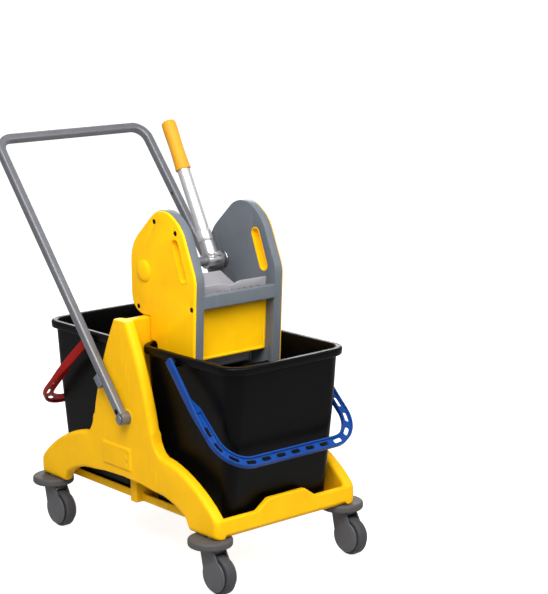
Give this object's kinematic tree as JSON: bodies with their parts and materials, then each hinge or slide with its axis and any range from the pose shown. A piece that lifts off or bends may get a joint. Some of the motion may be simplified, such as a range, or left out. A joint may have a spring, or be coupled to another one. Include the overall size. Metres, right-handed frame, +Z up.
{
  "type": "double mop bucket trolley",
  "caption": "Wheeled mop trolley with a pair of lift-out buckets, swinging bails, a fold-over push handle and a geared lever wringer over the front bucket.",
  "frame": {"origin": "on the floor, at the centre of the castor pattern", "axes": "+Z up; +Y to the rear, where the push handle leans; +X to the right seen from the front; the wringer stands over the front bucket at -Y"},
  "size_m": [0.442, 0.7692, 0.8791],
  "materials": {
    "base_yellow": "satin moulded polypropylene",
    "cover_yellow": "smooth moulded polypropylene",
    "housing_grey": "fine moulded texture",
    "press_grey": "smooth moulded",
    "bucket_black": "semi-gloss moulded polypropylene",
    "bail_blue": "semi-gloss moulded",
    "bail_red": "semi-gloss moulded",
    "handle_paint": "satin grey powder coat",
    "steel": "zinc plated",
    "hub_iron": "satin dark grey",
    "tube_chrome": "bright chrome plate",
    "grip_yellow": "soft moulded grip",
    "bumper_grey": "matte rubber",
    "fork_grey": "moulded glass-filled nylon",
    "wheel_grey": "moulded",
    "tyre_grey": "matte grey rubber"
  },
  "bodies": {
    "trolley": {"base_front": "base_yellow", "base_rear": "base_yellow", "centre_tower": "base_yellow", "base_bolts": "steel", "bumper_front_left": "bumper_grey", "bumper_front_right": "bumper_grey", "bumper_rear_left": "bumper_grey", "bumper_rear_right": "bumper_grey", "king_pin_front_left": "steel", "king_pin_front_right": "steel", "king_pin_rear_left": "steel", "king_pin_rear_right": "steel", "bucket_front": "bucket_black", "bucket_rear": "bucket_black", "handle_bolts": "steel", "handle_washers": "steel", "handle_rests": "housing_grey"},
    "handle": {"push_handle": "handle_paint"},
    "bail_front": {"bail_front": "bail_blue"},
    "bail_rear": {"bail_rear": "bail_red"},
    "castor_front_left": {"fork_front_left": "fork_grey", "axle_front_left": "steel"},
    "castor_front_right": {"fork_front_right": "fork_grey", "axle_front_right": "steel"},
    "castor_rear_left": {"fork_rear_left": "fork_grey", "axle_rear_left": "steel"},
    "castor_rear_right": {"fork_rear_right": "fork_grey", "axle_rear_right": "steel"},
    "roller_front_left": {"wheel_front_left": "wheel_grey", "tyre_front_left": "tyre_grey"},
    "roller_front_right": {"wheel_front_right": "wheel_grey", "tyre_front_right": "tyre_grey"},
    "roller_rear_left": {"wheel_rear_left": "wheel_grey", "tyre_rear_left": "tyre_grey"},
    "roller_rear_right": {"wheel_rear_right": "wheel_grey", "tyre_rear_right": "tyre_grey"},
    "wringer": {"side_left": "housing_grey", "side_right": "housing_grey", "cover_left": "cover_yellow", "cover_right": "cover_yellow", "front_rail": "housing_grey", "front_panel": "cover_yellow", "press_grid": "press_grey", "tie_rods": "steel", "cover_screws": "steel", "shaft_bushes": "press_grey", "jaw_bushes": "press_grey"},
    "lever": {"lever_shaft": "steel", "pinion_left": "steel", "pinion_right": "steel", "lever_hub": "hub_iron", "lever_ferrule": "steel", "lever_tube": "tube_chrome", "lever_grip": "grip_yellow"},
    "jaw": {"press_jaw": "press_grey", "jaw_rod": "steel", "jaw_sector_left": "steel", "jaw_sector_right": "steel"}
  },
  "joints": [
    {"name": "handle_fold", "type": "hinge", "parent": "trolley", "child": "handle", "pos_m": [0, -0.023, 0.302], "axis": [1, 0, 0], "range_deg": [0, 79]},
    {"name": "bail_front_swing", "type": "hinge", "parent": "trolley", "child": "bail_front", "pos_m": [0, -0.142, 0.433], "axis": [-1, 0, 0], "range_deg": [0, 118]},
    {"name": "bail_rear_swing", "type": "hinge", "parent": "trolley", "child": "bail_rear", "pos_m": [0, 0.142, 0.433], "axis": [1, 0, 0], "range_deg": [0, 118]},
    {"name": "swivel_front_left", "type": "hinge", "parent": "trolley", "child": "castor_front_left", "pos_m": [-0.176, -0.273, 0.088], "axis": [0, 0, 1], "continuous": true},
    {"name": "roll_front_left", "type": "hinge", "parent": "castor_front_left", "child": "roller_front_left", "pos_m": [-0.176, -0.301, 0.04], "axis": [1, 0, 0], "continuous": true},
    {"name": "swivel_front_right", "type": "hinge", "parent": "trolley", "child": "castor_front_right", "pos_m": [0.176, -0.273, 0.088], "axis": [0, 0, 1], "continuous": true},
    {"name": "roll_front_right", "type": "hinge", "parent": "castor_front_right", "child": "roller_front_right", "pos_m": [0.176, -0.301, 0.04], "axis": [1, 0, 0], "continuous": true},
    {"name": "swivel_rear_left", "type": "hinge", "parent": "trolley", "child": "castor_rear_left", "pos_m": [-0.176, 0.273, 0.088], "axis": [0, 0, 1], "continuous": true},
    {"name": "roll_rear_left", "type": "hinge", "parent": "castor_rear_left", "child": "roller_rear_left", "pos_m": [-0.176, 0.245, 0.04], "axis": [1, 0, 0], "continuous": true},
    {"name": "swivel_rear_right", "type": "hinge", "parent": "trolley", "child": "castor_rear_right", "pos_m": [0.176, 0.273, 0.088], "axis": [0, 0, 1], "continuous": true},
    {"name": "roll_rear_right", "type": "hinge", "parent": "castor_rear_right", "child": "roller_rear_right", "pos_m": [0.176, 0.245, 0.04], "axis": [1, 0, 0], "continuous": true},
    {"name": "wringer_lift", "type": "slide", "parent": "trolley", "child": "wringer", "axis": [0, 0, 1], "range_m": [0, 0.25]},
    {"name": "lever_pull", "type": "hinge", "parent": "wringer", "child": "lever", "pos_m": [0, 0.0044, 0.5935], "axis": [1, 0, 0], "range_deg": [-78, 0], "stiffness_Nm_per_rad": 3, "springref_deg": 28.65},
    {"name": "jaw_press", "type": "hinge", "parent": "wringer", "child": "jaw", "pos_m": [0, -0.07228, 0.398], "axis": [1, 0, 0], "range_deg": [0, 13]}
  ],
  "couplings": [
    {"joint": "jaw_press", "follows": "lever_pull", "ratio": -0.16667}
  ]
}
